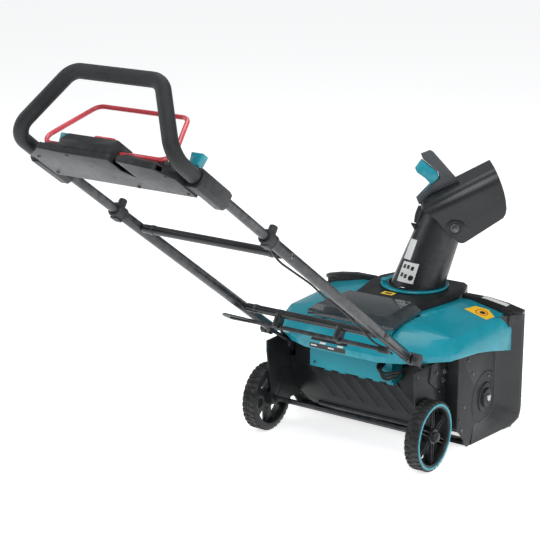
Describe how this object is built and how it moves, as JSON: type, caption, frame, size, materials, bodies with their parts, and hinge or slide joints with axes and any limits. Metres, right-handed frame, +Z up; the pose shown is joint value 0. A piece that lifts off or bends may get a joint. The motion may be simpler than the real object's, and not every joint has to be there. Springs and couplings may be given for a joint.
{
  "type": "snow blower",
  "caption": "Cordless walk-behind snow blower: wheeled body with rubber auger, turning chute with tilting deflector, and folding, telescoping handle with bail control.",
  "frame": {"origin": "on the ground, under the middle of the whole outline", "axes": "+Z up, +Y forward to the auger mouth, +X to the operator's right"},
  "size_m": [0.564, 1.388, 1.0238],
  "materials": {
    "body_black": "satin",
    "panel_black": "satin",
    "handle_grey": "satin",
    "cover_teal": "semi-gloss",
    "control_red": "semi-gloss",
    "lid_smoked": "clear gloss",
    "tube_black": "satin",
    "bail_red": "gloss",
    "steel": "brushed",
    "auger_rubber": "matte",
    "wheel_black": "matte",
    "foam_black": "matte"
  },
  "bodies": {
    "body": {"side_plate_right": "body_black", "side_plate_left": "body_black", "auger_housing": "body_black", "scraper_bar": "tube_black", "rear_shroud": "body_black", "top_cover": "cover_teal", "chute_dome": "body_black", "lid_hinge_pin": "steel", "motor_stator": "steel", "controller": "body_black", "drive_belt": "auger_rubber", "belt_cover": "body_black", "lower_housing": "cover_teal", "auger_bearing_left": "steel", "auger_bearing_right": "steel", "bearing_housing": "body_black", "axle": "tube_black", "handle_leg_right": "tube_black", "handle_leg_left": "tube_black"},
    "wheel_right": {"wheel_right": "wheel_black", "axle_cap_right": "body_black"},
    "wheel_left": {"wheel_left": "wheel_black", "axle_cap_left": "body_black"},
    "auger": {"auger_shaft": "steel", "auger_flight_right": "auger_rubber", "auger_flight_left": "auger_rubber", "auger_paddle": "auger_rubber", "auger_pulley": "steel"},
    "motor": {"motor_rotor": "steel"},
    "chute": {"chute": "body_black", "chute_ring": "cover_teal", "deflector_rack": "body_black", "deflector_pivot_bolt_right": "steel", "deflector_pivot_bolt_left": "steel"},
    "chute_pin": {"chute_lock_pin": "cover_teal"},
    "deflector": {"deflector_hood": "body_black", "deflector_handle": "handle_grey"},
    "trigger": {"deflector_trigger": "cover_teal"},
    "lid": {"battery_lid": "lid_smoked"},
    "battery_left": {"battery_pack_left": "handle_grey"},
    "battery_right": {"battery_pack_right": "handle_grey"},
    "fold_knob_right": {"fold_knob_right": "body_black"},
    "fold_knob_left": {"fold_knob_left": "body_black"},
    "lower_handle": {"lower_tube_right": "tube_black", "lower_tube_left": "tube_black", "height_clamp_right": "body_black", "height_clamp_left": "body_black", "upper_cross_bar": "tube_black", "lower_cross_bar": "tube_black", "control_cable": "auger_rubber"},
    "tool": {"clean_out_tool": "body_black"},
    "upper_handle": {"grip_tube": "tube_black", "grip_foam": "foam_black", "panel_lower": "panel_black", "panel_upper": "panel_black", "switch_box": "panel_black"},
    "bail": {"bail": "bail_red"},
    "button": {"lock_off_button": "control_red"},
    "quick_lever_right": {"quick_lever_right": "cover_teal"},
    "quick_lever_left": {"quick_lever_left": "cover_teal"}
  },
  "joints": [
    {"name": "wheel_right_spin", "type": "hinge", "parent": "body", "child": "wheel_right", "pos_m": [0.226, 0.19836, 0.083], "axis": [1, 0, 0], "continuous": true},
    {"name": "wheel_left_spin", "type": "hinge", "parent": "body", "child": "wheel_left", "pos_m": [-0.226, 0.19836, 0.083], "axis": [1, 0, 0], "continuous": true},
    {"name": "auger_spin", "type": "hinge", "parent": "body", "child": "auger", "pos_m": [0, 0.44836, 0.102], "axis": [1, 0, 0], "continuous": true},
    {"name": "motor_spin", "type": "hinge", "parent": "body", "child": "motor", "pos_m": [0, 0.33336, 0.205], "axis": [1, 0, 0], "continuous": true},
    {"name": "chute_turn", "type": "hinge", "parent": "body", "child": "chute", "pos_m": [0, 0.51836, 0.33], "axis": [0, 0, 1], "range_deg": [-40, 150]},
    {"name": "chute_pin_press", "type": "slide", "parent": "chute", "child": "chute_pin", "axis": [0, 0, 1], "range_m": [0, 0.005], "stiffness_N_per_m": 400},
    {"name": "deflector_tilt", "type": "hinge", "parent": "chute", "child": "deflector", "pos_m": [0.07209, 0.56883, 0.489], "axis": [0.5736, -0.8192, 0], "range_deg": [0, 25]},
    {"name": "trigger_squeeze", "type": "hinge", "parent": "deflector", "child": "trigger", "pos_m": [0.03604, 0.5436, 0.6], "axis": [-0.5736, 0.8192, 0], "range_deg": [0, 5], "stiffness_Nm_per_rad": 0.6, "springref_deg": -5.73},
    {"name": "lid_open", "type": "hinge", "parent": "body", "child": "lid", "pos_m": [0, 0.36186, 0.315], "axis": [-1, 0, 0], "range_deg": [0, 70]},
    {"name": "battery_left_lift", "type": "slide", "parent": "body", "child": "battery_left", "axis": [0, 0, 1], "range_m": [0, 0.018]},
    {"name": "battery_right_lift", "type": "slide", "parent": "body", "child": "battery_right", "axis": [0, 0, 1], "range_m": [0, 0.018]},
    {"name": "fold_knob_right_turn", "type": "hinge", "parent": "body", "child": "fold_knob_right", "pos_m": [0.21, 0.16836, 0.2724], "axis": [1, 0, 0], "continuous": true},
    {"name": "fold_knob_left_turn", "type": "hinge", "parent": "body", "child": "fold_knob_left", "pos_m": [-0.21, 0.16836, 0.2724], "axis": [-1, 0, 0], "continuous": true},
    {"name": "handle_fold", "type": "hinge", "parent": "body", "child": "lower_handle", "pos_m": [0, 0.16836, 0.2724], "axis": [-1, 0, 0], "range_deg": [0, 54]},
    {"name": "handle_telescope", "type": "slide", "parent": "lower_handle", "child": "upper_handle", "axis": [0, 0.808, -0.5892], "range_m": [0, 0.15]},
    {"name": "tool_unclip", "type": "slide", "parent": "lower_handle", "child": "tool", "axis": [0, -0.5892, -0.808], "range_m": [0, 0.05]},
    {"name": "bail_pull", "type": "hinge", "parent": "upper_handle", "child": "bail", "pos_m": [0, -0.64822, 0.87528], "axis": [1, 0, 0], "range_deg": [0, 37], "stiffness_Nm_per_rad": 0.8, "springref_deg": -45.84},
    {"name": "lock_off_press", "type": "slide", "parent": "upper_handle", "child": "button", "axis": [0, -0.5892, -0.808], "range_m": [0, 0.004], "stiffness_N_per_m": 600},
    {"name": "quick_lever_right_flip", "type": "hinge", "parent": "upper_handle", "child": "quick_lever_right", "pos_m": [0.158, -0.58577, 0.84212], "axis": [-1, 0, 0], "range_deg": [0, 25]},
    {"name": "quick_lever_left_flip", "type": "hinge", "parent": "upper_handle", "child": "quick_lever_left", "pos_m": [-0.158, -0.58577, 0.84212], "axis": [-1, 0, 0], "range_deg": [0, 25]}
  ],
  "couplings": [
    {"joint": "motor_spin", "follows": "auger_spin", "ratio": 3.5}
  ]
}
